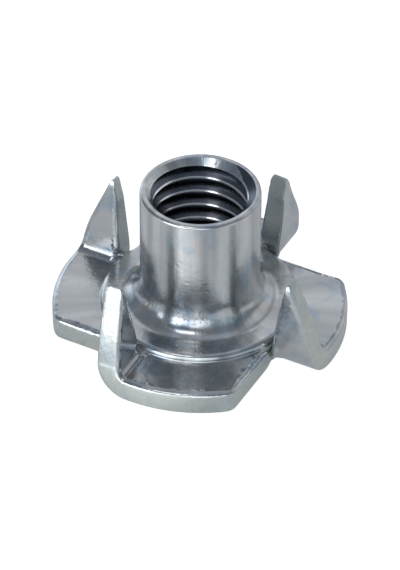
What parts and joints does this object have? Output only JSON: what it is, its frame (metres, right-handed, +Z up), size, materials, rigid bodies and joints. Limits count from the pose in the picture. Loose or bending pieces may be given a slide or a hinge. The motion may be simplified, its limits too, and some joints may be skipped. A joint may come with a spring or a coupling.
{
  "type": "tee nut",
  "caption": "Pronged tee nut of zinc-plated steel: a threaded barrel on a round flange cut into lobes, with spear-shaped prongs bent up beside them.",
  "frame": {"origin": "on the barrel's axis, at the underside of the flange", "axes": "+Z up the barrel, from the flange to the rim; +X and +Y run along the sheared edges of the lobes and the blades of the prongs"},
  "size_m": [0.022, 0.022, 0.012],
  "materials": {
    "zinc_steel": "bright zinc plate, satin, with a faint blue tint"
  },
  "bodies": {
    "root": {"tee_nut": "zinc_steel"}
  },
  "joints": []
}
